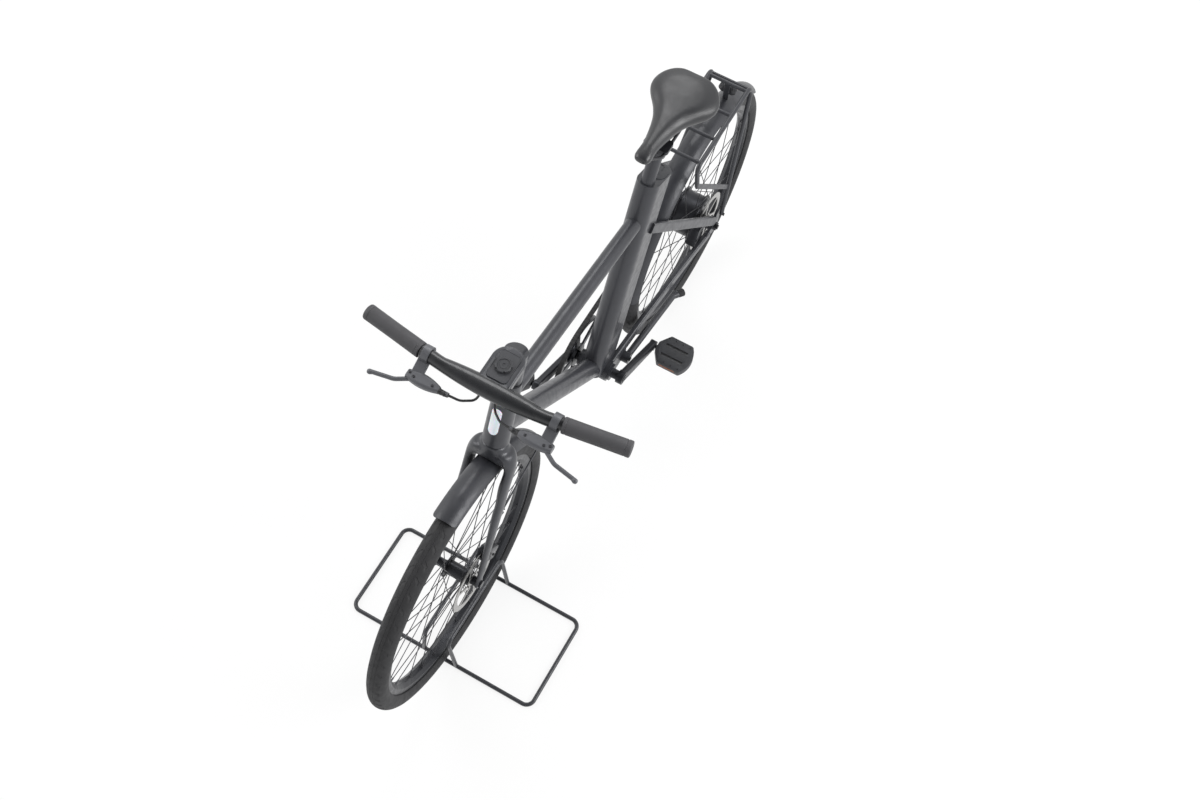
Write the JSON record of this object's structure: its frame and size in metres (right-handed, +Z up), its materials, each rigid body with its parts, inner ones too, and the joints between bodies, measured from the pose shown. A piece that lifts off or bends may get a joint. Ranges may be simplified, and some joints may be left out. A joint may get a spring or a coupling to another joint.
{
  "type": "electric city bicycle in a floor display stand",
  "caption": "Belt-drive electric city bike with hub motor, oval battery seat tube, mudguards, rear rack and a wire floor stand holding the front wheel.",
  "frame": {"origin": "on the floor, midway along the bicycle and on its middle plane", "axes": "+X forward, +Y to the rider's left, +Z up"},
  "size_m": [1.778, 0.587, 0.9871],
  "materials": {
    "frame_paint": "satin dark grey powder coat",
    "black_paint": "satin black paint",
    "rubber_black": "matt moulded rubber",
    "tyre_rubber": "matt tyre rubber",
    "black_plastic": "fine-textured moulded plastic",
    "saddle_cover": "smooth satin vinyl cover",
    "anodised_black": "black anodised aluminium",
    "rotor_steel": "ground stainless steel",
    "axle_steel": "dark plated steel",
    "lens_white": "clear diffuse lamp lens",
    "lens_red": "red lamp lens",
    "stand_paint": "grey powder-coated steel wire"
  },
  "bodies": {
    "frame": {"head_tube": "frame_paint", "headset": "anodised_black", "head_light": "lens_white", "top_tube": "frame_paint", "down_tube": "frame_paint", "seat_tube": "frame_paint", "bottom_bracket": "frame_paint", "chain_stays": "frame_paint", "seat_stays": "frame_paint", "battery": "black_plastic", "battery_cap": "black_plastic", "seat_post": "frame_paint", "saddle_clamp": "anodised_black", "saddle_rails": "axle_steel", "saddle": "saddle_cover", "rear_mudguard": "black_paint", "rear_rack": "black_paint", "rear_light": "lens_red", "rear_caliper": "anodised_black", "rear_axle": "axle_steel", "drive_belt": "rubber_black", "kickstand_bracket": "black_paint"},
    "steering": {"fork": "frame_paint", "front_axle": "anodised_black", "front_mudguard": "frame_paint", "front_caliper": "anodised_black", "handlebar": "frame_paint", "phone_mount": "black_plastic", "grip_left": "rubber_black", "grip_right": "rubber_black", "brake_lever_left": "anodised_black", "brake_lever_right": "anodised_black", "brake_hose_left": "rubber_black", "brake_hose_right": "rubber_black", "display_stand": "stand_paint"},
    "front_wheel": {"front_tyre": "tyre_rubber", "front_rim": "anodised_black", "front_spokes": "anodised_black", "front_hub": "anodised_black", "front_rotor": "rotor_steel"},
    "rear_wheel": {"rear_tyre": "tyre_rubber", "rear_rim": "anodised_black", "rear_spokes": "anodised_black", "hub_motor": "anodised_black", "rear_rotor": "rotor_steel", "rear_sprocket": "anodised_black"},
    "crankset": {"front_sprocket": "anodised_black", "crank_left": "anodised_black", "crank_right": "anodised_black"},
    "pedal_left": {"pedal_left": "black_plastic"},
    "pedal_right": {"pedal_right": "black_plastic"},
    "kickstand": {"kickstand": "black_paint"}
  },
  "joints": [
    {"name": "steering_turn", "type": "hinge", "parent": "frame", "child": "steering", "pos_m": [0.50771, 0, 0.32361], "axis": [-0.342, 0, 0.9397], "range_deg": [-60, 60]},
    {"name": "front_wheel_spin", "type": "hinge", "parent": "steering", "child": "front_wheel", "pos_m": [0.55, 0, 0.339], "axis": [0, 1, 0], "continuous": true},
    {"name": "rear_wheel_spin", "type": "hinge", "parent": "frame", "child": "rear_wheel", "pos_m": [-0.55, 0, 0.339], "axis": [0, 1, 0], "continuous": true},
    {"name": "crank_spin", "type": "hinge", "parent": "frame", "child": "crankset", "pos_m": [-0.08, 0, 0.29], "axis": [0, 1, 0], "continuous": true},
    {"name": "pedal_left_spin", "type": "hinge", "parent": "crankset", "child": "pedal_left", "pos_m": [-0.23407, 0.137, 0.21815], "axis": [0, 1, 0], "continuous": true},
    {"name": "pedal_right_spin", "type": "hinge", "parent": "crankset", "child": "pedal_right", "pos_m": [0.07407, -0.137, 0.36185], "axis": [0, 1, 0], "continuous": true},
    {"name": "kickstand_fold", "type": "hinge", "parent": "frame", "child": "kickstand", "pos_m": [-0.152, 0.045, 0.254], "axis": [0, -1, 0], "range_deg": [0, 95]}
  ]
}
